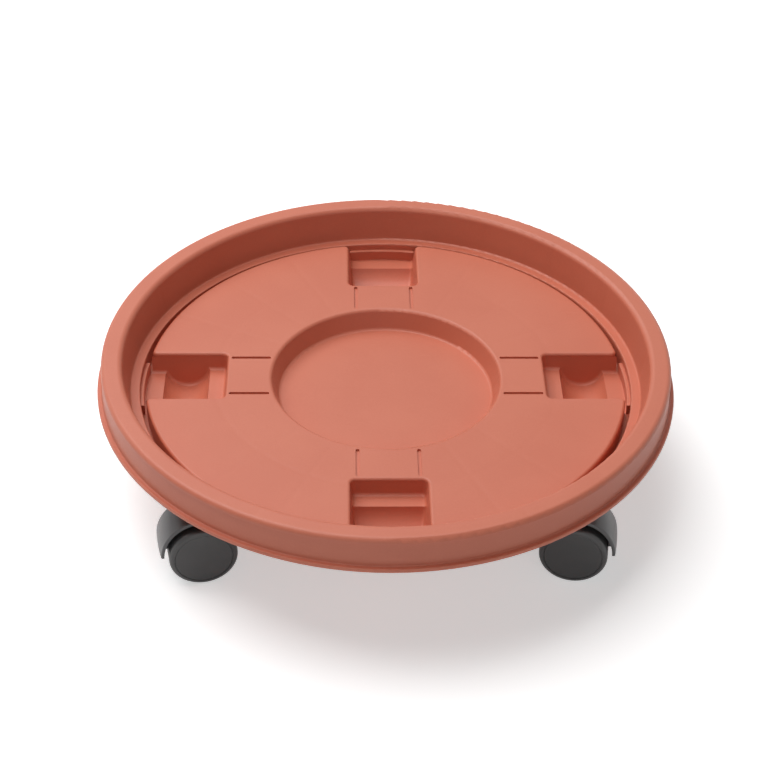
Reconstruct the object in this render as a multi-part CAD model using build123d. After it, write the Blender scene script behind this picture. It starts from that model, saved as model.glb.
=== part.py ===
"""Round plant caddy: a moulded tray with a raised rim, carried on four twin-wheel casters.

Sizes are in millimetres. +Z is up, the floor is z = 0 and the tray's axis is the Z axis.
The front of the caddy is -Y. Each caster is drawn with its stem on the Z axis and its
wheels trailing along +X, and is then turned and moved to its place under the tray.
"""
import math
import os

from build123d import *

# Tray plan, worked inwards from the bottom lip
tray_diameter = 350.0
lip_width = 2.8
skirt_flare = 1.2
bead_width = 0.8
rim_width = 12.5
wall_lean = 3.8
ledge_width = 5.9
gutter_width = 3.3
tray_wall = 2.5

# Tray heights
rim_rise = 20.3
skirt_height = 21.0
lip_thickness = 2.4
bead_height = 3.6
bead_slope = 0.4
ledge_drop = 2.5
gutter_depth = 13.2

# Tray edges
rim_outer_edge = 3.0
rim_inner_edge = 3.4
wall_foot_edge = 1.2
ledge_edge = 0.8
gutter_floor_edge = 1.0
lip_edge = 0.8
deck_edge = 1.8
deck_corner = 3.0

# Round recess in the middle of the deck
recess_floor_diameter = 131.4
recess_depth = 13.1
recess_lean = 4.3
recess_floor_edge = 2.0
recess_mouth_edge = 2.4

# Four pockets cut in from the gutter
pocket_count = 4
pocket_length = 48.8
pocket_width = 44.4
pocket_corner = 3.5
pocket_draft = 7.0
pocket_inner_depth = 11.2
pocket_outer_depth = 13.6
pocket_floor_edge = 2.2
trough_radius = 14.75
trough_inset = 25.5
trough_axis_depth = 7.75
trough_edge = 1.2
bridge_width = 2.2
bridge_depth = 6.7
bridge_length = 43.0
bridge_edge = 0.6

# Narrow grooves beside the strip between the recess and each pocket
strip_width = 35.8
strip_groove_width = 2.3
strip_groove_depth = 1.3
strip_groove_margin = 0.6

# Ribs under the deck and inside the rim
rib_angles = (26.0, 45.0, 64.0)
rib_thickness = 1.6
deck_rib_depth = 9.0
ring_rib_inset = 41.3
rim_rib_clearance = 3.0

# Caster places and the way each one trails at rest, in degrees from +X
caster_inset = 15.3
casters = {
    "front_left": {"place": 225.0, "heading": 191.3},
    "front_right": {"place": 315.0, "heading": -9.2},
    "rear_left": {"place": 135.0, "heading": 171.0},
    "rear_right": {"place": 45.0, "heading": 12.0},
}

# Wheels
wheel_diameter = 40.0
wheel_width = 12.2
wheel_gap = 8.6
wheel_shoulder = 2.6
wheel_inner_edge = 0.8
wheel_rim_wall = 3.0
wheel_disc_wall = 2.5
hub_diameter = 11.0
cap_thickness = 1.6
cap_edge = 0.5
cap_clearance = 0.1

# Axle
axle_diameter = 5.0
axle_clearance = 0.05
axle_end_gap = 0.3
axle_end_wall = 0.7
axle_chamfer = 0.4

# Caster housing
trail = 17.4
hood_width = 24.0
hood_clearance = 2.4
hood_edge_wall = 1.8
hood_crown = 0.6
hood_side_edge = 1.0
hood_tail_angle = 0.0
hood_front_angle = 165.0
web_clearance = 0.3
web_hub_diameter = 17.0
neck_diameter = 14.0
neck_height = 4.6
neck_edge = 0.8

# Stem, socket and grip ring
swivel_gap = 0.3
pin_diameter = 5.0
pin_clearance = 0.05
pin_length = 21.0
pin_end_gap = 0.6
pin_chamfer = 0.6
pin_groove_depth = 0.35
pin_groove_height = 1.4
pin_groove_offset = 4.0
snap_bead_height = 0.8
snap_clearance = 0.1
collar_diameter = 13.0
collar_thickness = 1.4
stem_diameter = 8.0
stem_length = 11.5
stem_chamfer = 0.8
socket_clearance = 0.1
socket_wall = 1.3
socket_flange_width = 2.2
socket_flange_thickness = 1.0
socket_length = 12.2
socket_seat_clearance = 0.02
socket_end_gap = 0.3
boss_wall = 4.3
boss_depth = 15.6
ring_height = 2.0
ring_thickness = 0.8
ring_seat_gap = 0.05
ring_offset = 6.5
ring_split = 2.0

# Room that a cutting shape takes past the face it cuts
cut_over = 2.0

# How close two measures are when they count as one, and how steeply a floor face looks down
same_place = 0.01
floor_look = -0.3

# Radii that follow from the plan sizes
lip_radius = tray_diameter / 2
skirt_bottom_radius = lip_radius - lip_width
skirt_top_radius = skirt_bottom_radius - skirt_flare
rim_outer_radius = skirt_top_radius + bead_width
rim_inner_radius = rim_outer_radius - rim_width
wall_foot_radius = rim_inner_radius - wall_lean
gutter_radius = wall_foot_radius - ledge_width
deck_radius = gutter_radius - gutter_width
pocket_inner_x = deck_radius - pocket_length
trough_x = pocket_inner_x + trough_inset
recess_floor_radius = recess_floor_diameter / 2
ring_rib_radius = deck_radius - ring_rib_inset
caster_radius = deck_radius - caster_inset
bridge_radius = gutter_radius - bridge_width
recess_mouth_radius = recess_floor_radius + recess_lean

wheel_radius = wheel_diameter / 2
caster_width = 2 * wheel_width + wheel_gap
web_width = wheel_gap - 2 * web_clearance
hood_inner_radius = wheel_radius + hood_clearance
hood_edge_radius = hood_inner_radius + hood_edge_wall
hood_crown_radius = hood_edge_radius + hood_crown
pin_radius = pin_diameter / 2
stem_radius = stem_diameter / 2
socket_bore_radius = stem_radius + socket_clearance
socket_radius = socket_bore_radius + socket_wall
boss_bore_radius = socket_radius + socket_seat_clearance
boss_radius = boss_bore_radius + boss_wall
ring_radius = socket_bore_radius - ring_seat_gap

# Heights that follow from the stack of parts above the floor
axle_z = wheel_radius
housing_top_z = axle_z + hood_crown_radius + neck_height
collar_z = housing_top_z + swivel_gap
socket_flange_z = collar_z + collar_thickness
boss_z = socket_flange_z + socket_flange_thickness
deck_z = boss_z + boss_depth
deck_under_z = deck_z - tray_wall
rim_z = deck_z + rim_rise
lip_z = rim_z - skirt_height
ledge_z = deck_z - ledge_drop
gutter_z = deck_z - gutter_depth
recess_z = deck_z - recess_depth
pocket_inner_z = deck_z - pocket_inner_depth
pocket_outer_z = deck_z - pocket_outer_depth
trough_axis_z = deck_z - trough_axis_depth
bridge_z = deck_z - bridge_depth


def section(corners):
    """Filled section in the XZ plane from (x, z, corner radius) triples."""
    points = [(x, z) for x, z, edge in corners]
    edges = [edge for x, z, edge in corners]
    with BuildSketch(Plane.XZ) as sketch:
        with BuildLine():
            FilletPolyline(*points, radius=edges, close=True)
        make_face()
    return sketch.sketch


def turned(corners):
    """Solid of revolution about Z from (radius, height, corner radius) triples."""
    return revolve(section(corners), Axis.Z)


def tube(outer, bore, height):
    """Upright tube standing on z = 0."""
    ring = Circle(outer) - Circle(bore)
    return extrude(ring, amount=height)


def upright(plan, bottom, top):
    """Plan shape drawn up from one height to another."""
    return extrude(Pos(0, 0, bottom) * plan, amount=top - bottom)


# Tray


def rim_ring():
    """Gutter, ledge, leaning inner wall, hollow rim, skirt and bottom lip."""
    gutter_under_z = gutter_z - tray_wall
    rim_under_z = rim_z - tray_wall
    ledge_under_z = ledge_z - tray_wall
    gutter_start = deck_radius - tray_wall / 2
    bead_z = rim_z - bead_height
    lip_top_z = lip_z + lip_thickness
    return turned([
        (gutter_start, gutter_z, 0),
        (gutter_radius, gutter_z, gutter_floor_edge),
        (gutter_radius, ledge_z, ledge_edge),
        (wall_foot_radius, ledge_z, wall_foot_edge),
        (rim_inner_radius, rim_z, rim_inner_edge),
        (rim_outer_radius, rim_z, rim_outer_edge),
        (rim_outer_radius, bead_z, 0),
        (skirt_top_radius, bead_z - bead_slope, 0),
        (skirt_bottom_radius, lip_top_z, lip_edge),
        (lip_radius, lip_top_z, lip_edge),
        (lip_radius, lip_z, lip_edge / 2),
        (skirt_bottom_radius - tray_wall, lip_z, 0),
        (skirt_top_radius - tray_wall, rim_under_z, 0),
        (rim_inner_radius + tray_wall, rim_under_z, 0),
        (wall_foot_radius + tray_wall, ledge_under_z, 0),
        (gutter_radius + tray_wall, ledge_under_z, 0),
        (gutter_radius + tray_wall, gutter_under_z, 0),
        (gutter_start, gutter_under_z, 0),
    ])


def around(shape, count, start=0.0):
    """Copies of a shape spaced evenly about Z."""
    return [Rot(0, 0, start + 360 / count * i) * shape for i in range(count)]


def deck_outline():
    """Plan of the raised deck: a disc with the pockets cut in from its edge."""
    slot_length = deck_radius
    slot = Pos(pocket_inner_x + slot_length / 2, 0) * Rectangle(slot_length, pocket_width)
    outline = Circle(deck_radius) - around(slot, pocket_count)
    edge_corners = outline.vertices().filter_by(
        lambda v: Vector(v.X, v.Y).length > deck_radius - pocket_corner
    )
    outline = fillet(edge_corners, deck_corner)
    slot_corner = math.hypot(pocket_inner_x, pocket_width / 2)
    inner_corners = outline.vertices().filter_by(
        lambda v: abs(Vector(v.X, v.Y).length - slot_corner) < same_place
    )
    return fillet(inner_corners, pocket_corner)


def deck_shell():
    """Deck with its wall all round, rounded along the top edge and open below."""
    outline = deck_outline()
    shell = upright(outline, gutter_z - tray_wall, deck_z)
    top = shell.faces().sort_by(Axis.Z)[-1]
    shell = fillet(top.edges(), deck_edge)
    inside = offset(outline, amount=-tray_wall)
    return shell - upright(inside, gutter_z - tray_wall - cut_over, deck_under_z)


def recess_form(grow, top_z):
    """Leaning cup of the middle recess, grown by a wall's thickness or not at all."""
    top_lean = recess_lean * (top_z - recess_z) / recess_depth
    floor_z = recess_z - grow
    return turned([
        (0, floor_z, 0),
        (recess_floor_radius + grow, floor_z, recess_floor_edge + grow),
        (recess_floor_radius + top_lean + grow, top_z, 0),
        (0, top_z, 0),
    ])


def floor_rim(form):
    """Edges where the walls of a hollow's form meet its floor."""
    floors = [face for face in form.faces() if face.normal_at().Z < floor_look]
    edges = [edge for face in floors for edge in face.edges()]
    return ShapeList(edge for edge in edges if sum(edge.is_same(other) for other in edges) == 1)


def pocket_form(grow):
    """One pocket on +X below the deck plate, grown by a wall's thickness or not at all."""
    start = pocket_inner_x - grow
    end = deck_radius + pocket_corner + grow
    width = pocket_width + 2 * grow
    inner_z = pocket_inner_z - grow
    outer_z = pocket_outer_z - grow
    radius = trough_radius + grow
    with BuildSketch(Plane.XZ) as side:
        with BuildLine():
            Polyline(
                (start, deck_z),
                (start, inner_z),
                (trough_x, inner_z),
                (trough_x, outer_z),
                (end, outer_z),
                (end, deck_z),
                close=True,
            )
        make_face()
        with Locations((trough_x, trough_axis_z)):
            Circle(radius)
        lands = side.vertices().filter_by(
            lambda v: abs(v.X - trough_x) < radius
            and min(abs(v.Z - inner_z), abs(v.Z - outer_z)) < same_place
        )
        fillet(lands, trough_edge)
    floor_bar = extrude(side.sketch, amount=width, both=True)
    plan = Pos((start + end) / 2, 0) * RectangleRounded(end - start, width, pocket_corner + grow)
    depth = deck_under_z - trough_axis_z + radius + cut_over
    walls = extrude(Pos(0, 0, deck_under_z) * plan, amount=-depth, taper=pocket_draft)
    form = walls & floor_bar
    return fillet(floor_rim(form), pocket_floor_edge + grow)


def pocket_cup():
    """Walls and floor around one pocket, up to the deck's outer wall."""
    reach = upright(Circle(deck_radius), 0, deck_z)
    return pocket_form(tray_wall) & reach


def pocket_hollow():
    """Hollow of one pocket, out to the bridge across the gutter."""
    reach = upright(Circle(bridge_radius), 0, deck_z)
    return pocket_form(0) & reach


def bridge():
    """Block that closes the gutter off behind one pocket."""
    ring = Circle(gutter_radius + tray_wall / 2) - Circle(bridge_radius)
    reach = Pos(deck_radius, 0) * Rectangle(deck_radius, bridge_length)
    block = upright(ring & reach, gutter_z - tray_wall, bridge_z)
    inner_face = block.faces().sort_by(lambda face: Vector(face.center().X, face.center().Y).length)[0]
    top_edge = inner_face.edges().sort_by(Axis.Z)[-1]
    return fillet(top_edge, bridge_edge)


def pocket_corner_bits(outline):
    """Slivers outside the deck's rounded corners, where the gutter meets the pockets."""
    slot = Pos(deck_radius, 0) * Rectangle(deck_radius, pocket_width)
    return Circle(deck_radius) - outline - around(slot, pocket_count)


def strip_grooves():
    """Two round-ended grooves beside the strip that joins the recess to one pocket."""
    side_y = strip_width / 2
    mouth = recess_mouth_radius + recess_mouth_edge + strip_groove_margin
    start = math.sqrt(mouth ** 2 - side_y ** 2)
    end = pocket_inner_x - deck_edge - strip_groove_margin
    groove = SlotOverall(end - start, strip_groove_width)
    return [
        upright(Pos((start + end) / 2, side * side_y) * groove,
                deck_z - strip_groove_depth, deck_z + cut_over)
        for side in (-1, 1)
    ]


def deck_rib(angle):
    """Upright rib under the deck, from the recess to the deck's outer wall."""
    start = recess_floor_radius + recess_lean + tray_wall / 2
    length = deck_radius - tray_wall / 2 - start
    rib = Box(length, rib_thickness, deck_rib_depth)
    middle_z = deck_under_z - deck_rib_depth / 2
    return Rot(0, 0, angle) * Pos(start + length / 2, 0, middle_z) * rib


def rim_rib(angle):
    """Upright rib across the hollow of the rim."""
    bottom_z = lip_z + rim_rib_clearance
    top_z = rim_z - tray_wall / 2
    lean_per_mm = wall_lean / (rim_z - ledge_z)
    wall_middle = wall_foot_radius + tray_wall / 2 + (bottom_z - ledge_z) * lean_per_mm
    rib = section([
        (wall_middle, bottom_z, 0),
        (wall_middle + (top_z - bottom_z) * lean_per_mm, top_z, 0),
        (skirt_top_radius - tray_wall / 2, top_z, 0),
        (skirt_top_radius - tray_wall / 2, bottom_z, 0),
    ])
    return Rot(0, 0, angle) * extrude(rib, amount=rib_thickness / 2, both=True)


def caster_spot(place):
    """Where a caster's stem axis meets the floor."""
    angle = math.radians(place)
    return Pos(caster_radius * math.cos(angle), caster_radius * math.sin(angle), 0)


def make_tray():
    """The whole moulded tray, one solid."""
    tray = deck_shell() + rim_ring()
    ring_rib = tube(ring_rib_radius + rib_thickness / 2, ring_rib_radius - rib_thickness / 2,
                    deck_rib_depth)
    tray += Pos(0, 0, deck_under_z - deck_rib_depth) * ring_rib
    quarter_turns = [360 / pocket_count * i for i in range(pocket_count)]
    tray += [deck_rib(turn + angle) for turn in quarter_turns for angle in rib_angles]
    tray += [rim_rib(turn + angle) for turn in quarter_turns for angle in rib_angles]
    boss = upright(Circle(boss_radius), boss_z, deck_under_z)
    bore = upright(Circle(boss_bore_radius), boss_z - cut_over, boss_z + socket_length + socket_end_gap)
    tray += [caster_spot(caster["place"]) * boss for caster in casters.values()]
    tray += recess_form(tray_wall, deck_under_z)
    tray += around(pocket_cup(), pocket_count)
    tray -= around(pocket_hollow(), pocket_count)
    tray -= upright(pocket_corner_bits(deck_outline()), gutter_z, deck_under_z)
    tray += around(bridge(), pocket_count)
    tray -= recess_form(0, deck_z + cut_over)
    mouth = tray.edges().filter_by(GeomType.CIRCLE).filter_by(
        lambda e: abs(e.radius - recess_mouth_radius) < same_place
        and abs(e.center().Z - deck_z) < same_place
    )
    tray = fillet(mouth, recess_mouth_edge)
    for turn in quarter_turns:
        tray -= [Rot(0, 0, turn) * groove for groove in strip_grooves()]
    return tray - [caster_spot(caster["place"]) * bore for caster in casters.values()]


# Stem, socket and grip ring, on the Z axis


def make_socket():
    """Flanged sleeve pressed into the tray's boss."""
    top_z = boss_z + socket_length
    return turned([
        (socket_bore_radius, socket_flange_z, 0),
        (socket_radius + socket_flange_width, socket_flange_z, 0),
        (socket_radius + socket_flange_width, boss_z, 0),
        (socket_radius, boss_z, 0),
        (socket_radius, top_z, 0),
        (socket_bore_radius, top_z, 0),
    ])


def make_stem():
    """Steel stem: a grooved shank above a collar, and the swivel pin below it."""
    top_z = socket_flange_z + stem_length
    ring_z = socket_flange_z + ring_offset
    ring_seat_radius = ring_radius - ring_thickness
    pin_end_z = collar_z - pin_length
    snap_z = pin_end_z + pin_groove_offset
    groove_radius = pin_radius - pin_groove_depth
    return turned([
        (0, pin_end_z, 0),
        (pin_radius - pin_chamfer, pin_end_z, 0),
        (pin_radius, pin_end_z + pin_chamfer, 0),
        (pin_radius, snap_z, 0),
        (groove_radius, snap_z, 0),
        (groove_radius, snap_z + pin_groove_height, 0),
        (pin_radius, snap_z + pin_groove_height, 0),
        (pin_radius, collar_z, 0),
        (collar_diameter / 2, collar_z, 0),
        (collar_diameter / 2, socket_flange_z, 0),
        (stem_radius, socket_flange_z, 0),
        (stem_radius, ring_z, 0),
        (ring_seat_radius, ring_z, 0),
        (ring_seat_radius, ring_z + ring_height, 0),
        (stem_radius, ring_z + ring_height, 0),
        (stem_radius, top_z - stem_chamfer, 0),
        (stem_radius - stem_chamfer, top_z, 0),
        (0, top_z, 0),
    ])


def make_grip_ring():
    """Split spring ring in the shank's groove, which grips the socket."""
    height = ring_height - 2 * ring_seat_gap
    ring = tube(ring_radius, ring_radius - ring_thickness + ring_seat_gap, height)
    split = Pos(ring_radius, 0, height / 2) * Box(2 * ring_radius, ring_split, height + cut_over)
    return Pos(0, 0, socket_flange_z + ring_offset + ring_seat_gap) * (ring - split)


# Caster housing, axle, wheels and caps, with the wheels trailing along +X


def across(shape):
    """Turns a shape drawn about Z onto the axle, which runs along Y."""
    return Pos(trail, 0, axle_z) * Rot(-90, 0, 0) * shape


def hood_barrel():
    """Slightly crowned barrel about the axle that the hood is cut from."""
    half = hood_width / 2
    with BuildSketch(Plane.XZ) as barrel:
        with BuildLine():
            Polyline((0, half), (0, -half), (hood_edge_radius, -half))
            ThreePointArc((hood_edge_radius, -half), (hood_crown_radius, 0), (hood_edge_radius, half))
            Line((hood_edge_radius, half), (0, half))
        make_face()
        rim_corners = barrel.vertices().filter_by(lambda v: v.X > hood_inner_radius)
        fillet(rim_corners, hood_side_edge)
    return across(revolve(barrel.sketch, Axis.Z))


def open_sector():
    """Wedge under the wheels that the hood leaves open, seen from the side."""
    reach = 2 * hood_crown_radius
    sweep = hood_tail_angle + 360 - hood_front_angle
    steps = 4
    angles = [hood_front_angle + sweep * step / steps for step in range(steps + 1)]
    rim = [(reach * math.cos(math.radians(a)), reach * math.sin(math.radians(a))) for a in angles]
    with BuildSketch(Plane.XZ) as wedge:
        with BuildLine():
            Polyline((0, 0), *rim, close=True)
        make_face()
    return Pos(trail, 0, axle_z) * extrude(wedge.sketch, amount=caster_width, both=True)


def wheel_space(side):
    """Room for one wheel under the hood."""
    room = extrude(Circle(hood_inner_radius), amount=caster_width)
    start = web_width / 2 if side > 0 else -web_width / 2 - caster_width
    return across(Pos(0, 0, start) * room)


def make_housing():
    """Hood over both wheels, with the web between them and the neck for the stem."""
    web_hub = extrude(Circle(web_hub_diameter / 2), amount=web_width / 2, both=True)
    neck = upright(Circle(neck_diameter / 2), axle_z, housing_top_z)
    neck = fillet(neck.faces().sort_by(Axis.Z)[-1].edges(), neck_edge)
    body = hood_barrel() - open_sector() + neck + across(web_hub)
    body -= wheel_space(-1)
    body -= wheel_space(1)
    pin_end_z = collar_z - pin_length
    bore = upright(Circle(pin_radius + pin_clearance), pin_end_z - pin_end_gap,
                   housing_top_z + cut_over)
    groove_middle_z = pin_end_z + pin_groove_offset + pin_groove_height / 2
    bead_bore = pin_radius - pin_groove_depth + snap_clearance
    bead = tube(pin_radius + pin_clearance, bead_bore, snap_bead_height)
    bore -= Pos(0, 0, groove_middle_z - snap_bead_height / 2) * bead
    axle_bore = extrude(Circle(axle_diameter / 2), amount=caster_width, both=True)
    return body - bore - across(axle_bore)


def make_axle():
    """Steel axle held in the web, running out into both wheels."""
    length = caster_width - 2 * (cap_thickness + axle_end_wall + axle_end_gap)
    axle = extrude(Circle(axle_diameter / 2), amount=length / 2, both=True)
    return across(chamfer(axle.edges().filter_by(GeomType.CIRCLE), axle_chamfer))


def on_side(shape, side):
    """Puts a wheel piece, drawn with its inner face on z = 0, on one side of the web."""
    return Pos(trail, side * wheel_gap / 2, axle_z) * Rot(-90 * side, 0, 0) * shape


def make_wheel(side):
    """Moulded wheel: tread, disc and hub, with a seat for the cap."""
    seat_z = wheel_width - cap_thickness
    disc_z = seat_z - wheel_disc_wall
    inner = wheel_radius - wheel_rim_wall
    bore = axle_diameter / 2 + axle_clearance
    bore_end_z = seat_z - axle_end_wall
    return on_side(turned([
        (bore, 0, 0),
        (hub_diameter / 2, 0, 0),
        (hub_diameter / 2, disc_z, 0),
        (inner, disc_z, 0),
        (inner, 0, 0),
        (wheel_radius, 0, wheel_inner_edge),
        (wheel_radius, wheel_width, wheel_shoulder),
        (inner, wheel_width, 0),
        (inner, seat_z, 0),
        (0, seat_z, 0),
        (0, bore_end_z, 0),
        (bore, bore_end_z, 0),
    ]), side)


def make_cap(side):
    """Smooth disc that closes the wheel's outer face."""
    radius = wheel_radius - wheel_rim_wall - cap_clearance
    seat_z = wheel_width - cap_thickness
    return on_side(turned([
        (0, seat_z, 0),
        (radius, seat_z, 0),
        (radius, wheel_width, cap_edge),
        (0, wheel_width, 0),
    ]), side)


def make_caster(heading):
    """Every piece of one caster by name, turned to its heading."""
    near = -1 if math.cos(math.radians(heading)) > 0 else 1
    pieces = {
        "socket": make_socket(),
        "stem": make_stem(),
        "grip_ring": make_grip_ring(),
        "housing": make_housing(),
        "axle": make_axle(),
        "near_wheel": make_wheel(near),
        "near_cap": make_cap(near),
        "far_wheel": make_wheel(-near),
        "far_cap": make_cap(-near),
    }
    return {name: Rot(0, 0, heading) * piece for name, piece in pieces.items()}


def main():
    os.makedirs("parts", exist_ok=True)
    nodes = {"tray": make_tray()}
    for corner, caster in casters.items():
        spot = caster_spot(caster["place"])
        for name, piece in make_caster(caster["heading"]).items():
            nodes[f"{corner}_{name}"] = spot * piece
    for name, shape in nodes.items():
        export_step(shape, f"parts/{name}.step")
    print(f"{len(nodes)} pieces, rim top at {rim_z:.2f}, deck at {deck_z:.2f}")


main()
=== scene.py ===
"""Looks of a round plant caddy: terracotta moulded tray on four black twin-wheel casters."""
import math

import bmesh
import bpy
from mathutils import Matrix, Vector


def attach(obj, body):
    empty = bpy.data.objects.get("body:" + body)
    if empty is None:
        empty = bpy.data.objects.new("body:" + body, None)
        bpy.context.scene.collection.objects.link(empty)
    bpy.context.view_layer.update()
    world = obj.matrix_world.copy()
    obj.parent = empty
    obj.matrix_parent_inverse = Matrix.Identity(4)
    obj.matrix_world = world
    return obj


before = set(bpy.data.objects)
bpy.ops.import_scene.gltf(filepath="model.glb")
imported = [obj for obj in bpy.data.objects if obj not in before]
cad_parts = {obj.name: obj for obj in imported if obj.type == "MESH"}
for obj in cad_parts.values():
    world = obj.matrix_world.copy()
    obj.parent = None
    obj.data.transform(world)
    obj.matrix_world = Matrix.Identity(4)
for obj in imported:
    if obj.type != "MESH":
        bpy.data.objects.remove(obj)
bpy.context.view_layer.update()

bl_info = {
    "name": "Plant Caddy Looks",
    "version": (1, 0, 0),
    "blender": (4, 5, 0),
    "location": "View3D > Sidebar > Plant Caddy",
    "description": "Finishes, small mouldings, studio and camera for a round plant caddy on casters",
    "category": "Object",
}

RIB_ANGLES = (26.0, 45.0, 64.0)
CORNERS = ("front_left", "front_right", "rear_left", "rear_right")
SIDES = ("near", "far")
MM = 0.001

# How far nodes stand apart in the node editor, and where the first one stands
NODE_STEP = 180
NODE_START = -2000

# Refraction of the moulded plastics
TRAY_IOR = 1.49
BLACK_IOR = 1.52

# Half the swing of roughness over the grain, smoother side first
GRAIN_SWING = (0.04, 0.05)
STEEL_SWING = (0.06, 0.08)

# Range of a noise value over which roughness swings
NOISE_LOW = 0.3
NOISE_HIGH = 0.7

# Noise behind the grain, the pigment's drift and its flecks
GRAIN_DETAIL = 1.0
DRIFT_DETAIL = 3.0
DRIFT_ROUGHNESS = 0.55
DRIFT_RANGE = (0.50, 0.85)
FLECKS_PER_DRIFT = 40.0
FLECK_DETAIL = 2.0
FLECK_ROUGHNESS = 0.7
FLECK_SHARE = 0.35

# Rubbed patches, and the noise range that leaves thin scratches in them
PATCH_SCALE = 28.0
PATCH_DETAIL = 3.0
PATCH_RANGE = (0.50, 0.72)
SCRATCH_RANGE = (0.69, 0.74)

# How much of the tray's scratches shows, as colour and as roughness
TRAY_SCRATCHES = 0.5
SCRATCH_TINT = 0.22
SCRATCH_DULL = 0.12
SCRATCH_COLOUR = (0.80, 0.42, 0.34, 1.0)

# Tilt of the scratches, turns of their three sets about the vertical, and how thin they are
SCRATCH_TILT = (0.2, 0.1)
SCRATCH_TURNS = (0.4, 1.7, 2.6)
SCRATCH_STRETCH = 34.0

# Worn black plastic and turned steel
SCUFF_GREY = (0.12, 0.12, 0.12, 1.0)
SCUFF_DULL = 0.2
BLACK_DEPTH = 0.8
STEEL_DEPTH = 0.75
PLASTIC_GRAIN_DEPTH = 0.02 * MM
TURNING_DEPTH = 0.01 * MM
TURNING_SCALE = (40.0, 40.0, 4000.0)
TURNING_DETAIL = 3.0
TURNING_ROUGHNESS = 0.6

# Roughness and share of scuffs of each black plastic, and roughness of each steel
WHEEL_ROUGHNESS = 0.40
HOOD_FINISH = (0.33, 0.12)
SOCKET_FINISH = (0.50, 0.10)
STEEL_ROUGHNESS = 0.30
SPRING_ROUGHNESS = 0.38

# Moulding marks: sides of a disc, how deep it is sunk, and its bevel as a part of its height
DISC_SIDES = 40
DISC_SUNK = 0.2 * MM
DISC_BEVEL = 0.4
QUARTERS = 4

# Floor, and the lamps' places and sizes
FLOOR_REACH = 12.0
FLOOR_ROUGHNESS = 0.9
WHITE = (1, 1, 1, 1)
LAMP_AIM = (0, 0, 0.05)
KEY_PLACE = (-0.62, 0.50, 1.85)
KEY_SIZE = 2.0
FILL_PLACE = (0.30, -1.80, 0.90)
FILL_SIZE = 1.6
SENSOR_WIDTH = 36.0
CLIP_RANGE = (0.05, 30.0)


class TrayLook(bpy.types.PropertyGroup):
    """Colour and surface of the moulded tray."""
    colour: bpy.props.FloatVectorProperty(
        name="Colour", description="Terracotta of the moulded plastic",
        subtype="COLOR", size=3, min=0, max=1, default=(0.600, 0.170, 0.099))
    deep_colour: bpy.props.FloatVectorProperty(
        name="Deep colour", description="Richer tone where the pigment is thicker",
        subtype="COLOR", size=3, min=0, max=1, default=(0.560, 0.147, 0.083))
    roughness: bpy.props.FloatProperty(
        name="Roughness", description="Sheen of the matte moulding",
        subtype="FACTOR", min=0, max=1, default=0.46)
    grain_size: bpy.props.FloatProperty(
        name="Grain size", description="Width of one grain of the mould's texture",
        unit="LENGTH", precision=5, default=0.45 * MM)
    grain_depth: bpy.props.FloatProperty(
        name="Grain depth", description="Height of the mould's texture",
        unit="LENGTH", precision=5, default=0.03 * MM)
    sink_depth: bpy.props.FloatProperty(
        name="Sink depth", description="Depth of the faint hollows over the ribs",
        unit="LENGTH", precision=5, default=0.06 * MM)


class CasterLook(bpy.types.PropertyGroup):
    """Colours of the casters and their fittings."""
    wheel_colour: bpy.props.FloatVectorProperty(
        name="Wheel colour", description="Black of the moulded wheels",
        subtype="COLOR", size=3, min=0, max=1, default=(0.052, 0.051, 0.051))
    hood_colour: bpy.props.FloatVectorProperty(
        name="Hood colour", description="Black of the moulded hoods",
        subtype="COLOR", size=3, min=0, max=1, default=(0.095, 0.094, 0.096))
    socket_colour: bpy.props.FloatVectorProperty(
        name="Socket colour", description="Dark grey of the stem sockets",
        subtype="COLOR", size=3, min=0, max=1, default=(0.045, 0.045, 0.047))
    steel_colour: bpy.props.FloatVectorProperty(
        name="Steel colour", description="Zinc-plated steel of stems and axles",
        subtype="COLOR", size=3, min=0, max=1, default=(0.56, 0.56, 0.58))
    spring_colour: bpy.props.FloatVectorProperty(
        name="Spring colour", description="Plain spring steel of the grip rings",
        subtype="COLOR", size=3, min=0, max=1, default=(0.38, 0.38, 0.40))
    tread_scuff: bpy.props.FloatProperty(
        name="Tread scuff", description="How dusty and worn the treads are",
        subtype="FACTOR", min=0, max=1, default=0.30)


class MarkLook(bpy.types.PropertyGroup):
    """Small marks of moulding on the tray's underside."""
    recess_under: bpy.props.FloatProperty(
        name="Recess underside", description="Height of the underside of the middle recess",
        unit="LENGTH", precision=5, default=52.1 * MM)
    deck_under: bpy.props.FloatProperty(
        name="Deck underside", description="Height of the underside of the deck",
        unit="LENGTH", precision=5, default=65.2 * MM)
    gate_diameter: bpy.props.FloatProperty(
        name="Gate diameter", description="Width of the stub left by the sprue",
        unit="LENGTH", precision=5, default=5.0 * MM)
    gate_height: bpy.props.FloatProperty(
        name="Gate height", description="Height of the stub left by the sprue",
        unit="LENGTH", precision=5, default=0.9 * MM)
    pin_diameter: bpy.props.FloatProperty(
        name="Pin diameter", description="Width of an ejector pin's mark",
        unit="LENGTH", precision=5, default=8.0 * MM)
    pin_height: bpy.props.FloatProperty(
        name="Pin height", description="Height of an ejector pin's mark",
        unit="LENGTH", precision=5, default=0.25 * MM)
    pin_angles: bpy.props.FloatVectorProperty(
        name="Pin angles", description="Where the pin marks stand in each quarter",
        unit="ROTATION", size=2, default=(math.radians(35.5), math.radians(54.5)))
    pin_radii: bpy.props.FloatVectorProperty(
        name="Pin radii", description="How far the pin marks stand from the middle",
        unit="LENGTH", precision=5, size=2, default=(90 * MM, 118 * MM))


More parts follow.
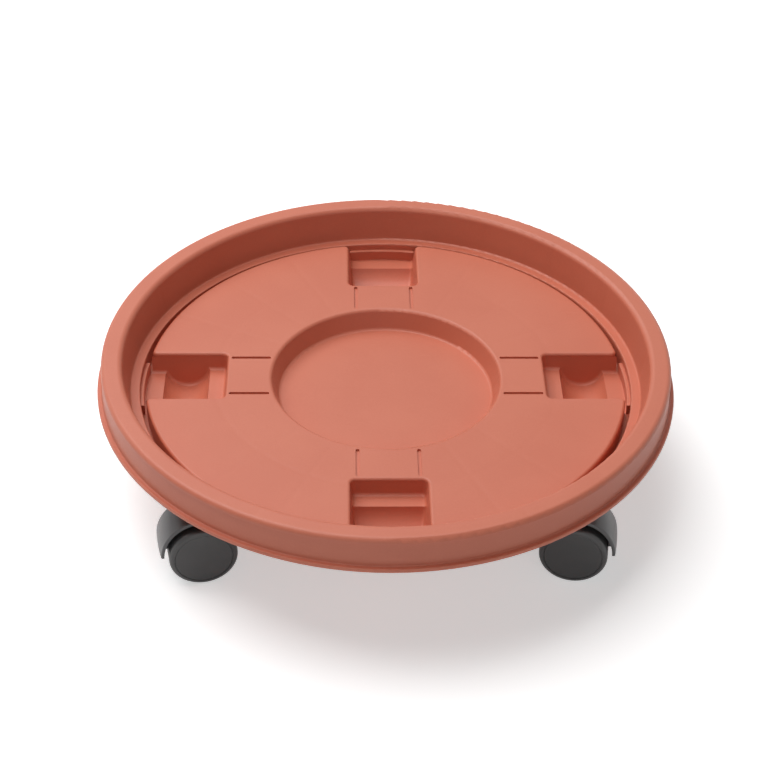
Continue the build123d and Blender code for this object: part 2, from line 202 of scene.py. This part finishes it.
class StageLook(bpy.types.PropertyGroup):
    """Camera, lamps and floor."""
    lens: bpy.props.FloatProperty(
        name="Lens", description="Focal length on a 36 mm sensor", unit="CAMERA", default=89.56)
    camera_place: bpy.props.FloatVectorProperty(
        name="Camera place", description="Where the camera stands",
        subtype="TRANSLATION", size=3, default=(-0.02783, -0.92037, 0.76807))
    camera_turn: bpy.props.FloatVectorProperty(
        name="Camera turn", description="Elevation, turn about the vertical, and roll",
        subtype="EULER", size=3,
        default=(math.radians(36.4474), math.radians(1.7317), math.radians(-1.0586)))
    camera_shift: bpy.props.FloatVectorProperty(
        name="Camera shift", description="Shift of the picture, as parts of its width",
        size=2, precision=5, default=(-0.00846, -0.04146))
    floor_colour: bpy.props.FloatVectorProperty(
        name="Floor colour", description="Pale floor", subtype="COLOR", size=3, min=0, max=1,
        default=(0.94, 0.94, 0.94))
    floor_lift: bpy.props.FloatProperty(
        name="Floor lift", description="Light the floor adds where it is seen, without lighting others",
        min=0, max=1, default=0.48)
    white_from: bpy.props.FloatVectorProperty(
        name="White from", description="Distances where the floor starts to turn and is all white",
        unit="LENGTH", size=2, default=(0.30, 0.90))
    sky_strength: bpy.props.FloatProperty(
        name="Sky strength", description="Even light from all round", min=0, max=2, default=0.05)
    key_power: bpy.props.FloatProperty(
        name="Key power", description="Lamp behind the tray on the left", unit="POWER", default=46.0)
    fill_power: bpy.props.FloatProperty(
        name="Fill power", description="Low lamp in front", unit="POWER", default=5.0)


# Node helpers


class Wiring:
    """Adds nodes to one node tree and links them."""

    def __init__(self, tree):
        self.tree = tree
        self.column = 0

    def put(self, kind, wires=None, **settings):
        """A new node of a kind, with its settings, and its inputs set or linked."""
        made = self.tree.nodes.new(kind)
        self.column += 1
        made.location = (self.column * NODE_STEP + NODE_START, 0)
        for name, value in settings.items():
            setattr(made, name, value)
        for name, value in (wires or {}).items():
            if isinstance(value, bpy.types.NodeSocket):
                self.tree.links.new(value, made.inputs[name])
            else:
                made.inputs[name].default_value = value
        return made

    def maths(self, operation, *values):
        """Result of a Math node."""
        wires = dict(enumerate(values))
        return self.put("ShaderNodeMath", wires, operation=operation).outputs[0]

    def spread(self, value, low, high, new_low=0.0, new_high=1.0):
        """A value mapped smoothly from one range to another."""
        wires = {
            "Value": value,
            "From Min": low,
            "From Max": high,
            "To Min": new_low,
            "To Max": new_high,
        }
        made = self.put("ShaderNodeMapRange", wires, interpolation_type="SMOOTHSTEP")
        return made.outputs["Result"]

    def swing(self, value, middle, reach):
        """A noise value turned into a roughness that swings about a middle one."""
        return self.spread(value, NOISE_LOW, NOISE_HIGH, middle - reach[0], middle + reach[1])

    def noise(self, vector, scale, detail=2.0, roughness=0.5):
        """Value of a noise texture."""
        wires = {"Vector": vector, "Scale": scale, "Detail": detail, "Roughness": roughness}
        return self.put("ShaderNodeTexNoise", wires).outputs["Fac"]

    def mix(self, factor, first, second):
        """Two colours mixed."""
        made = self.put("ShaderNodeMix", data_type="RGBA")
        for slot, value in ((0, factor), (6, first), (7, second)):
            if isinstance(value, bpy.types.NodeSocket):
                self.tree.links.new(value, made.inputs[slot])
            else:
                made.inputs[slot].default_value = value
        return made.outputs[2]

    def group(self, tree, **wires):
        """A node group placed here; underscores in the names stand for spaces."""
        made = self.put("ShaderNodeGroup", node_tree=tree)
        for name, value in wires.items():
            socket = made.inputs[name.replace("_", " ")]
            if isinstance(value, bpy.types.NodeSocket):
                self.tree.links.new(value, socket)
            else:
                socket.default_value = value
        return made.outputs


def new_group(name, inputs, outputs):
    """An empty node group with named sockets: (tree, inside inputs, inside output node)."""
    tree = bpy.data.node_groups.new(name, "ShaderNodeTree")
    for label, kind, value in inputs:
        socket = tree.interface.new_socket(label, in_out="INPUT", socket_type=kind)
        if value is not None:
            socket.default_value = value
    for label, kind in outputs:
        tree.interface.new_socket(label, in_out="OUTPUT", socket_type=kind)
    inside = tree.nodes.new("NodeGroupInput")
    end = tree.nodes.new("NodeGroupOutput")
    return tree, inside.outputs, end


def rgba(colour):
    """A colour with its alpha."""
    return (*colour, 1.0)


def moulded_grain():
    """Node group: the fine pebbled texture of a mould and slow waves in the plastic."""
    name = "Moulded grain"
    if name in bpy.data.node_groups:
        return bpy.data.node_groups[name]
    tree, given, end = new_group(name, [
        ("Vector", "NodeSocketVector", None),
        ("Grain size", "NodeSocketFloat", 0.45 * MM),
        ("Wave size", "NodeSocketFloat", 14 * MM),
        ("Wave share", "NodeSocketFloat", 0.5),
    ], [("Height", "NodeSocketFloat"), ("Speckle", "NodeSocketFloat")])
    w = Wiring(tree)
    fine = w.noise(given["Vector"], w.maths("DIVIDE", 1.0, given["Grain size"]), GRAIN_DETAIL)
    wave = w.noise(given["Vector"], w.maths("DIVIDE", 1.0, given["Wave size"]), GRAIN_DETAIL)
    height = w.maths("ADD", fine, w.maths("MULTIPLY", wave, given["Wave share"]))
    tree.links.new(height, end.inputs["Height"])
    tree.links.new(fine, end.inputs["Speckle"])
    return tree


def pigment_drift():
    """Node group: slow drift between two close tones, with small flecks."""
    name = "Pigment drift"
    if name in bpy.data.node_groups:
        return bpy.data.node_groups[name]
    tree, given, end = new_group(name, [
        ("Vector", "NodeSocketVector", None),
        ("Tone", "NodeSocketColor", None),
        ("Deep tone", "NodeSocketColor", None),
        ("Drift size", "NodeSocketFloat", 60 * MM),
        ("Drift", "NodeSocketFloat", 0.6),
    ], [("Colour", "NodeSocketColor"), ("Mask", "NodeSocketFloat")])
    w = Wiring(tree)
    slow_scale = w.maths("DIVIDE", 1.0, given["Drift size"])
    slow = w.noise(given["Vector"], slow_scale, DRIFT_DETAIL, DRIFT_ROUGHNESS)
    fleck_scale = w.maths("DIVIDE", FLECKS_PER_DRIFT, given["Drift size"])
    fleck = w.noise(given["Vector"], fleck_scale, FLECK_DETAIL, FLECK_ROUGHNESS)
    flecked = w.maths("ADD", slow, w.maths("MULTIPLY", fleck, FLECK_SHARE))
    mask = w.spread(flecked, *DRIFT_RANGE)
    colour = w.mix(w.maths("MULTIPLY", mask, given["Drift"]), given["Tone"], given["Deep tone"])
    tree.links.new(colour, end.inputs["Colour"])
    tree.links.new(mask, end.inputs["Mask"])
    return tree


def scuffs():
    """Node group: short fine scratches and rubbed patches."""
    name = "Scuffs"
    if name in bpy.data.node_groups:
        return bpy.data.node_groups[name]
    tree, given, end = new_group(name, [
        ("Vector", "NodeSocketVector", None),
        ("Scratch length", "NodeSocketFloat", 30 * MM),
        ("Amount", "NodeSocketFloat", 0.5),
    ], [("Mask", "NodeSocketFloat")])
    w = Wiring(tree)
    patch = w.spread(w.noise(given["Vector"], PATCH_SCALE, PATCH_DETAIL), *PATCH_RANGE)
    scale = w.maths("DIVIDE", 1.0, given["Scratch length"])
    lines = None
    for turn in SCRATCH_TURNS:
        slant = w.put("ShaderNodeMapping", {
            "Vector": given["Vector"],
            "Rotation": (*SCRATCH_TILT, turn),
            "Scale": (1.0, SCRATCH_STRETCH, SCRATCH_STRETCH),
        })
        line = w.spread(w.noise(slant.outputs[0], scale), *SCRATCH_RANGE)
        lines = line if lines is None else w.maths("MAXIMUM", lines, line)
    mask = w.maths("MULTIPLY", w.maths("MULTIPLY", lines, patch), given["Amount"])
    tree.links.new(mask, end.inputs["Mask"])
    return tree


def sink_marks():
    """Node group: faint hollows over the ribs, on spokes in each quarter and on one circle."""
    name = "Sink marks"
    if name in bpy.data.node_groups:
        return bpy.data.node_groups[name]
    tree, given, end = new_group(name, [
        ("Vector", "NodeSocketVector", None),
        ("Half width", "NodeSocketFloat", 3.2 * MM),
        ("Circle radius", "NodeSocketFloat", 105 * MM),
        ("Start radius", "NodeSocketFloat", 74 * MM),
    ], [("Mask", "NodeSocketFloat")])
    w = Wiring(tree)
    parts = w.put("ShaderNodeSeparateXYZ", {0: given["Vector"]}).outputs
    squares = w.maths("ADD", w.maths("MULTIPLY", parts["X"], parts["X"]),
                      w.maths("MULTIPLY", parts["Y"], parts["Y"]))
    radius = w.maths("SQRT", squares)
    angle = w.maths("ADD", w.maths("ARCTAN2", parts["Y"], parts["X"]), math.tau)
    quarter = w.maths("MODULO", angle, math.pi / 2)
    nearest = None
    for spoke in RIB_ANGLES:
        gap = w.maths("ABSOLUTE", w.maths("SUBTRACT", quarter, math.radians(spoke)))
        nearest = gap if nearest is None else w.maths("MINIMUM", nearest, gap)
    off_spoke = w.maths("MULTIPLY", nearest, radius)
    spokes = w.spread(off_spoke, 0.0, given["Half width"], 1.0, 0.0)
    outside = w.maths("GREATER_THAN", radius, given["Start radius"])
    off_circle = w.maths("ABSOLUTE", w.maths("SUBTRACT", radius, given["Circle radius"]))
    circle = w.spread(off_circle, 0.0, given["Half width"], 1.0, 0.0)
    mask = w.maths("MAXIMUM", w.maths("MULTIPLY", spokes, outside), circle)
    tree.links.new(mask, end.inputs["Mask"])
    return tree


def new_material(name, colour, roughness, **constants):
    """A material with a Principled shader: (material, wiring, shader node, object coordinates)."""
    material = bpy.data.materials.new(name)
    material.use_nodes = True
    material.diffuse_color = rgba(colour)
    tree = material.node_tree
    shader = tree.nodes["Principled BSDF"]
    shader.inputs["Base Color"].default_value = rgba(colour)
    shader.inputs["Roughness"].default_value = roughness
    for label, value in constants.items():
        shader.inputs[label.replace("_", " ")].default_value = value
    w = Wiring(tree)
    place = w.put("ShaderNodeTexCoord").outputs["Object"]
    return material, w, shader, place


def bump(w, shader, height, distance):
    """Feeds a height through a Bump node to the shader's normal."""
    made = w.put("ShaderNodeBump", {"Height": height, "Distance": distance, "Strength": 1.0})
    w.tree.links.new(made.outputs["Normal"], shader.inputs["Normal"])


def paint(node_name, material):
    """Puts one material on a CAD node."""
    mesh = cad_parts[node_name].data
    mesh.materials.clear()
    mesh.materials.append(material)


# Operators


class CADDY_OT_tray(bpy.types.Operator):
    """Gives the tray its terracotta moulded plastic"""
    bl_idname = "caddy.tray"
    bl_label = "Tray"

    def execute(self, context):
        look = context.scene.tray_look
        material, w, shader, place = new_material(
            "Terracotta moulded plastic", look.colour, look.roughness, IOR=TRAY_IOR)
        drift = w.group(pigment_drift(), Vector=place, Tone=rgba(look.colour),
                        Deep_tone=rgba(look.deep_colour))
        grain = w.group(moulded_grain(), Vector=place, Grain_size=look.grain_size)
        scratch = w.group(scuffs(), Vector=place, Amount=TRAY_SCRATCHES)
        tint = w.maths("MULTIPLY", scratch["Mask"], SCRATCH_TINT)
        pale = w.mix(tint, drift["Colour"], SCRATCH_COLOUR)
        w.tree.links.new(pale, shader.inputs["Base Color"])
        rough = w.swing(grain["Speckle"], look.roughness, GRAIN_SWING)
        dull = w.maths("MULTIPLY", scratch["Mask"], SCRATCH_DULL)
        w.tree.links.new(w.maths("ADD", rough, dull), shader.inputs["Roughness"])
        sink = w.group(sink_marks(), Vector=place)
        texture = w.maths("MULTIPLY", grain["Height"], look.grain_depth)
        hollows = w.maths("MULTIPLY", sink["Mask"], look.sink_depth)
        bump(w, shader, w.maths("SUBTRACT", texture, hollows), 1.0)
        paint("tray", material)
        return {"FINISHED"}


class CADDY_OT_casters(bpy.types.Operator):
    """Gives hoods, wheels and fittings their plastics and steels"""
    bl_idname = "caddy.casters"
    bl_label = "Casters"

    def execute(self, context):
        look = context.scene.caster_look
        wheel = self.black_plastic("Wheel plastic", look.wheel_colour, WHEEL_ROUGHNESS,
                                   look.tread_scuff)
        hood = self.black_plastic("Hood plastic", look.hood_colour, *HOOD_FINISH)
        socket = self.black_plastic("Socket plastic", look.socket_colour, *SOCKET_FINISH)
        steel = self.steel("Zinc-plated steel", look.steel_colour, STEEL_ROUGHNESS)
        spring = self.steel("Spring steel", look.spring_colour, SPRING_ROUGHNESS)
        finishes = {
            "housing": hood,
            "socket": socket,
            "stem": steel,
            "axle": steel,
            "grip_ring": spring,
        }
        for side in SIDES:
            finishes[f"{side}_wheel"] = wheel
            finishes[f"{side}_cap"] = wheel
        for corner in CORNERS:
            for piece, finish in finishes.items():
                paint(f"{corner}_{piece}", finish)
        return {"FINISHED"}

    def black_plastic(self, name, colour, roughness, worn):
        """Black nylon with a fine texture and greyed scuffs."""
        material, w, shader, place = new_material(name, colour, roughness, IOR=BLACK_IOR)
        deep = tuple(part * BLACK_DEPTH for part in colour)
        drift = w.group(pigment_drift(), Vector=place, Tone=rgba(colour), Deep_tone=rgba(deep),
                        Drift_size=18 * MM)
        scratch = w.group(scuffs(), Vector=place, Scratch_length=9 * MM, Amount=worn)
        grey = w.mix(scratch["Mask"], drift["Colour"], SCUFF_GREY)
        w.tree.links.new(grey, shader.inputs["Base Color"])
        grain = w.group(moulded_grain(), Vector=place, Grain_size=0.30 * MM, Wave_size=5 * MM)
        rough = w.swing(grain["Speckle"], roughness, GRAIN_SWING)
        dull = w.maths("MULTIPLY", scratch["Mask"], SCUFF_DULL)
        w.tree.links.new(w.maths("ADD", rough, dull), shader.inputs["Roughness"])
        bump(w, shader, grain["Height"], PLASTIC_GRAIN_DEPTH)
        return material

    def steel(self, name, colour, roughness):
        """Turned and plated steel with fine rings."""
        material, w, shader, place = new_material(name, colour, roughness, Metallic=1.0)
        dull = tuple(part * STEEL_DEPTH for part in colour)
        drift = w.group(pigment_drift(), Vector=place, Tone=rgba(colour), Deep_tone=rgba(dull),
                        Drift_size=4 * MM)
        w.tree.links.new(drift["Colour"], shader.inputs["Base Color"])
        rings = w.put("ShaderNodeMapping", {"Vector": place, "Scale": TURNING_SCALE})
        lines = w.noise(rings.outputs[0], 1.0, TURNING_DETAIL, TURNING_ROUGHNESS)
        w.tree.links.new(w.swing(lines, roughness, STEEL_SWING), shader.inputs["Roughness"])
        bump(w, shader, lines, TURNING_DEPTH)
        return material


class CADDY_OT_marks(bpy.types.Operator):
    """Adds the small marks of moulding on the underside of the tray"""
    bl_idname = "caddy.marks"
    bl_label = "Moulding marks"

    def execute(self, context):
        look = context.scene.mark_look
        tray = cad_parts["tray"].data
        gate = bmesh.new()
        self.disc(gate, (0, 0), look.recess_under, look.gate_diameter / 2, look.gate_height)
        pins = bmesh.new()
        for quarter in range(QUARTERS):
            for angle in look.pin_angles:
                for radius in look.pin_radii:
                    turn = angle + quarter * math.pi / 2
                    spot = (radius * math.cos(turn), radius * math.sin(turn))
                    self.disc(pins, spot, look.deck_under, look.pin_diameter / 2, look.pin_height)
        for name, shape in (("gate_mark", gate), ("pin_marks", pins)):
            mesh = bpy.data.meshes.new(name)
            shape.to_mesh(mesh)
            shape.free()
            mesh.materials.append(tray.materials[0])
            piece = bpy.data.objects.new(name, mesh)
            context.scene.collection.objects.link(piece)
            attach(piece, "tray_body")
        return {"FINISHED"}

    def disc(self, shape, spot, top, radius, height):
        """A low round disc with a bevelled lower edge, hanging from a face."""
        depth = height + DISC_SUNK
        made = bmesh.ops.create_cone(
            shape, cap_ends=True, segments=DISC_SIDES, radius1=radius, radius2=radius, depth=depth,
            matrix=Matrix.Translation((*spot, top + DISC_SUNK - depth / 2)))
        low = [edge for vert in made["verts"] for edge in vert.link_edges
               if all(end.co.z < top - height / 2 for end in edge.verts)]
        bmesh.ops.bevel(shape, geom=list(set(low)), offset=height * DISC_BEVEL, segments=2,
                        affect="EDGES", profile=0.5, material=-1)


class CADDY_OT_stage(bpy.types.Operator):
    """Builds the pale floor, the soft studio light and the camera"""
    bl_idname = "caddy.stage"
    bl_label = "Stage"

    def execute(self, context):
        look = context.scene.stage_look
        self.floor(look)
        self.sky(context.scene, look)
        self.lamp("Key lamp", KEY_PLACE, KEY_SIZE, look.key_power)
        self.lamp("Fill lamp", FILL_PLACE, FILL_SIZE, look.fill_power)
        self.camera(context.scene, look)
        context.scene.view_settings.view_transform = "Standard"
        return {"FINISHED"}

    def seen(self, w):
        """One for what the camera sees, also by reflection or through a clear piece."""
        path = w.put("ShaderNodeLightPath").outputs
        mirrored = w.maths("MAXIMUM", path["Is Glossy Ray"], path["Is Transmission Ray"])
        return w.maths("MAXIMUM", path["Is Camera Ray"], mirrored)

    def floor(self, look):
        """Large plane that keeps the shadow, turns white away from it and is clear from below."""
        mesh = bpy.data.meshes.new("floor")
        shape = bmesh.new()
        bmesh.ops.create_grid(shape, x_segments=1, y_segments=1, size=FLOOR_REACH)
        shape.to_mesh(mesh)
        shape.free()
        floor = bpy.data.objects.new("floor", mesh)
        bpy.context.scene.collection.objects.link(floor)
        material = bpy.data.materials.new("Pale floor")
        material.use_nodes = True
        w = Wiring(material.node_tree)
        tree = w.tree
        shader = tree.nodes["Principled BSDF"]
        shader.inputs["Base Color"].default_value = rgba(look.floor_colour)
        shader.inputs["Roughness"].default_value = FLOOR_ROUGHNESS
        shader.inputs["Specular IOR Level"].default_value = 0.0
        shader.inputs["Emission Color"].default_value = WHITE
        place = w.put("ShaderNodeTexCoord").outputs["Object"]
        away = w.put("ShaderNodeVectorMath", {0: place}, operation="LENGTH").outputs["Value"]
        lift = w.spread(away, *look.white_from, look.floor_lift, 1.0)
        tree.links.new(w.maths("MULTIPLY", self.seen(w), lift), shader.inputs["Emission Strength"])
        clear = w.put("ShaderNodeBsdfTransparent").outputs[0]
        under = w.put("ShaderNodeNewGeometry").outputs["Backfacing"]
        both = w.put("ShaderNodeMixShader", {0: under, 1: shader.outputs[0], 2: clear})
        tree.links.new(both.outputs[0], tree.nodes["Material Output"].inputs["Surface"])
        mesh.materials.append(material)

    def sky(self, scene, look):
        """Even dim light, which the camera and reflections see as plain white."""
        world = bpy.data.worlds.new("Studio")
        world.use_nodes = True
        scene.world = world
        w = Wiring(world.node_tree)
        strength = w.spread(self.seen(w), 0.0, 1.0, look.sky_strength, 1.0)
        light = world.node_tree.nodes["Background"]
        light.inputs["Color"].default_value = WHITE
        w.tree.links.new(strength, light.inputs["Strength"])

    def lamp(self, name, place, size, power):
        """A soft square lamp aimed at the caddy."""
        data = bpy.data.lights.new(name, "AREA")
        data.shape = "SQUARE"
        data.size = size
        data.energy = power
        lamp = bpy.data.objects.new(name, data)
        lamp.location = place
        aim = Vector(LAMP_AIM) - Vector(place)
        lamp.rotation_euler = aim.to_track_quat("-Z", "Y").to_euler()
        bpy.context.scene.collection.objects.link(lamp)

    def camera(self, scene, look):
        """Camera at the photograph's viewpoint."""
        data = bpy.data.cameras.new("Camera")
        data.sensor_width = SENSOR_WIDTH
        data.lens = look.lens
        data.shift_x, data.shift_y = look.camera_shift
        data.clip_start, data.clip_end = CLIP_RANGE
        camera = bpy.data.objects.new("Camera", data)
        elevation, turn, roll = look.camera_turn
        tilt = Matrix.Rotation(math.pi / 2 - elevation, 4, "X")
        heading = Matrix.Rotation(-turn, 4, "Z")
        lean = Matrix.Rotation(-roll, 4, "Z")
        camera.matrix_world = Matrix.Translation(look.camera_place) @ heading @ tilt @ lean
        scene.collection.objects.link(camera)
        scene.camera = camera


class CADDY_PT_panel(bpy.types.Panel):
    """Sidebar panel with the caddy's looks and steps"""
    bl_idname = "CADDY_PT_panel"
    bl_label = "Plant Caddy"
    bl_space_type = "VIEW_3D"
    bl_region_type = "UI"
    bl_category = "Plant Caddy"

    def draw(self, context):
        layout = self.layout
        scene = context.scene
        for group in (scene.tray_look, scene.caster_look, scene.mark_look, scene.stage_look):
            box = layout.box()
            for label in group.bl_rna.properties.keys():
                if label not in {"rna_type", "name"}:
                    box.prop(group, label)
        for step in STEPS:
            layout.operator(step.bl_idname)


STEPS = (CADDY_OT_tray, CADDY_OT_casters, CADDY_OT_marks, CADDY_OT_stage)
CLASSES = (TrayLook, CasterLook, MarkLook, StageLook, *STEPS, CADDY_PT_panel)


def register():
    """Registers the classes and hangs the settings on the scene."""
    for one in CLASSES:
        bpy.utils.register_class(one)
    bpy.types.Scene.tray_look = bpy.props.PointerProperty(type=TrayLook)
    bpy.types.Scene.caster_look = bpy.props.PointerProperty(type=CasterLook)
    bpy.types.Scene.mark_look = bpy.props.PointerProperty(type=MarkLook)
    bpy.types.Scene.stage_look = bpy.props.PointerProperty(type=StageLook)


def unregister():
    """Takes the settings and classes away again."""
    del bpy.types.Scene.stage_look
    del bpy.types.Scene.mark_look
    del bpy.types.Scene.caster_look
    del bpy.types.Scene.tray_look
    for one in reversed(CLASSES):
        bpy.utils.unregister_class(one)


def main():
    """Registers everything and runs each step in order."""
    register()
    bpy.ops.caddy.tray()
    bpy.ops.caddy.casters()
    bpy.ops.caddy.marks()
    bpy.ops.caddy.stage()


if __name__ == "__main__":
    main()
